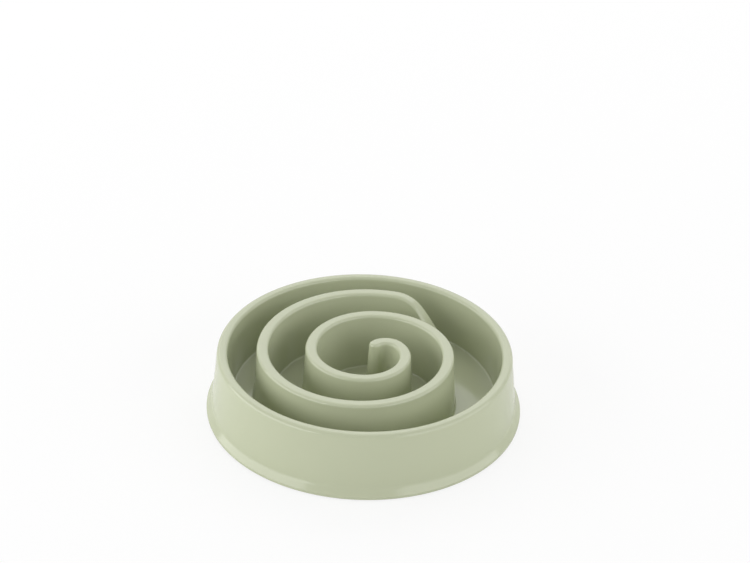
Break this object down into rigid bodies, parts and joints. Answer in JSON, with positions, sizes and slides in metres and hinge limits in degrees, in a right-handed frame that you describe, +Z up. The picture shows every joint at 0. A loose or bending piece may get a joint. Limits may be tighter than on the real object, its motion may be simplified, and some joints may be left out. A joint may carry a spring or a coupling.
{
  "type": "slow feeder bowl",
  "caption": "Round sage-green slow feeder bowl with a flared foot, a rounded rim and a tall spiral ridge on its floor, standing on small rubber feet.",
  "frame": {"origin": "on the table, under the middle of the bowl", "axes": "+Z up through the bowl's middle; +X to the right and +Y away from the viewer in the picture"},
  "size_m": [0.21, 0.21, 0.0492],
  "materials": {
    "shell_plastic": "satin moulded sage green",
    "foot_rubber": "matt grey-green rubber"
  },
  "bodies": {
    "root": {"bowl_shell": "shell_plastic", "foot_1": "foot_rubber", "foot_2": "foot_rubber", "foot_3": "foot_rubber", "foot_4": "foot_rubber", "foot_5": "foot_rubber", "foot_6": "foot_rubber"}
  },
  "joints": []
}
